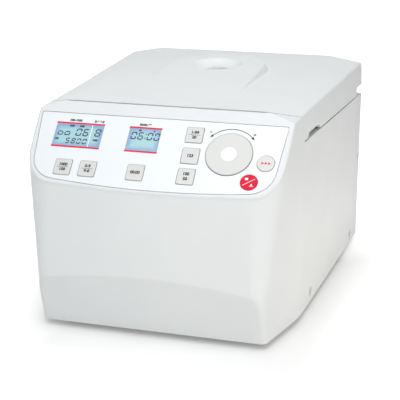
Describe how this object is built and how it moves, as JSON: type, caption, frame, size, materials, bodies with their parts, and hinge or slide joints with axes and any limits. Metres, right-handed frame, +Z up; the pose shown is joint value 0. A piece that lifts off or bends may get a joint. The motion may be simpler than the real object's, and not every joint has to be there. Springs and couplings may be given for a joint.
{
  "type": "bench centrifuge",
  "caption": "Compact bench centrifuge with a hinged lid, round sight glass, sloping key panel with dial and displays, and a fixed-angle tube rotor.",
  "frame": {"origin": "on the bench, under the middle of the body", "axes": "+X the operator's right, +Y to the back, +Z up"},
  "size_m": [0.2842, 0.3838, 0.2273],
  "materials": {
    "case_white": "fine even texture, warm white",
    "foil_white": "satin printed foil",
    "key_grey": "domed key face",
    "key_go": "round grey key",
    "key_halt": "round red key",
    "dial_grey": "satin dial",
    "display": "pale blue display window",
    "pane": "smoked sight glass",
    "trim_black": "black moulding",
    "rubber_black": "moulded rubber",
    "liner_grey": "moulded inner shell",
    "steel": "stainless sheet",
    "zinc_steel": "plated steel",
    "alloy": "machined and anodised",
    "alloy_dark": "dark anodised",
    "sleeve_blue": "moulded tube sleeve",
    "grey_paint": "powder coat",
    "board_green": "circuit board",
    "brass_pin": "contact blade"
  },
  "bodies": {
    "base": {"chamber_bowl": "steel", "chamber_gasket": "rubber_black", "control_board": "board_green", "encoder": "zinc_steel", "fan_frame": "trim_black", "feet": "rubber_black", "floor_plate": "grey_paint", "foot_screws": "zinc_steel", "fuse_drawer": "trim_black", "heat_sink": "alloy_dark", "hinge_brackets": "alloy", "hinge_pins": "steel", "housing": "case_white", "inlet_pins": "brass_pin", "keypad_mat": "rubber_black", "lock_housing": "trim_black", "lock_solenoid": "zinc_steel", "motor_bearings": "steel", "motor_housing": "alloy", "motor_mounts": "rubber_black", "motor_plate": "zinc_steel", "panel_foil": "foil_white", "power_board": "board_green", "power_inlet": "trim_black", "rear_panel": "grey_paint", "shaft_seal": "rubber_black", "side_screws": "zinc_steel", "speed_display": "display", "switch_frame": "trim_black", "time_display": "display"},
    "lid": {"lid_cover": "case_white", "sight_glass": "pane", "glass_ring": "trim_black", "lid_liner": "liner_grey", "lid_plate": "steel", "lid_striker": "zinc_steel", "hinge_arms": "zinc_steel"},
    "spinning_rotor": {"rotor": "alloy_dark", "tube_sleeves": "sleeve_blue", "rotor_nut": "alloy", "motor_shaft": "steel"},
    "dial_knob": {"dial": "dial_grey"},
    "bolt": {"lock_bolt": "steel"},
    "mains_rocker": {"rocker": "trim_black"},
    "fan_wheel": {"fan_impeller": "trim_black"},
    "key_program_cap": {"key_program": "key_grey"},
    "key_store_cap": {"key_store": "key_grey"},
    "key_pulse_cap": {"key_pulse": "key_grey"},
    "key_speed_cap": {"key_speed": "key_grey"},
    "key_ramp_cap": {"key_ramp": "key_grey"},
    "key_time_cap": {"key_time": "key_grey"},
    "key_start_cap": {"key_start": "key_go"},
    "key_stop_cap": {"key_stop": "key_halt"}
  },
  "joints": [
    {"name": "lid_hinge", "type": "hinge", "parent": "base", "child": "lid", "pos_m": [0, 0.172, 0.198], "axis": [-1, 0, 0], "range_deg": [0, 75]},
    {"name": "rotor_spin", "type": "hinge", "parent": "base", "child": "spinning_rotor", "pos_m": [0, 0.055, 0.1], "axis": [0, 0, 1], "continuous": true},
    {"name": "dial_turn", "type": "hinge", "parent": "base", "child": "dial_knob", "pos_m": [0.0678, -0.162, 0.1763], "axis": [0, -0.7381, 0.6747], "continuous": true},
    {"name": "key_program_press", "type": "slide", "parent": "base", "child": "key_program_cap", "axis": [0, 0.7381, -0.6747], "range_m": [0, 0.0006], "stiffness_N_per_m": 800, "springref_m": -0.0004},
    {"name": "key_store_press", "type": "slide", "parent": "base", "child": "key_store_cap", "axis": [0, 0.7381, -0.6747], "range_m": [0, 0.0006], "stiffness_N_per_m": 800, "springref_m": -0.0004},
    {"name": "key_pulse_press", "type": "slide", "parent": "base", "child": "key_pulse_cap", "axis": [0, 0.7381, -0.6747], "range_m": [0, 0.0006], "stiffness_N_per_m": 800, "springref_m": -0.0004},
    {"name": "key_speed_press", "type": "slide", "parent": "base", "child": "key_speed_cap", "axis": [0, 0.7381, -0.6747], "range_m": [0, 0.0006], "stiffness_N_per_m": 800, "springref_m": -0.0004},
    {"name": "key_ramp_press", "type": "slide", "parent": "base", "child": "key_ramp_cap", "axis": [0, 0.7381, -0.6747], "range_m": [0, 0.0006], "stiffness_N_per_m": 800, "springref_m": -0.0004},
    {"name": "key_time_press", "type": "slide", "parent": "base", "child": "key_time_cap", "axis": [0, 0.7381, -0.6747], "range_m": [0, 0.0006], "stiffness_N_per_m": 800, "springref_m": -0.0004},
    {"name": "key_start_press", "type": "slide", "parent": "base", "child": "key_start_cap", "axis": [0, 0.7381, -0.6747], "range_m": [0, 0.0006], "stiffness_N_per_m": 800, "springref_m": -0.0004},
    {"name": "key_stop_press", "type": "slide", "parent": "base", "child": "key_stop_cap", "axis": [0, 0.7381, -0.6747], "range_m": [0, 0.0006], "stiffness_N_per_m": 800, "springref_m": -0.0004},
    {"name": "lock_bolt_throw", "type": "slide", "parent": "base", "child": "bolt", "axis": [1, 0, 0], "range_m": [0, 0.014], "stiffness_N_per_m": 60, "springref_m": -0.004},
    {"name": "rocker_tilt", "type": "hinge", "parent": "base", "child": "mains_rocker", "pos_m": [0.086, 0.1815, 0.052], "axis": [-1, 0, 0], "range_deg": [0, 16]},
    {"name": "fan_spin", "type": "hinge", "parent": "base", "child": "fan_wheel", "pos_m": [-0.06, 0.18, 0.046], "axis": [0, 1, 0], "continuous": true}
  ]
}
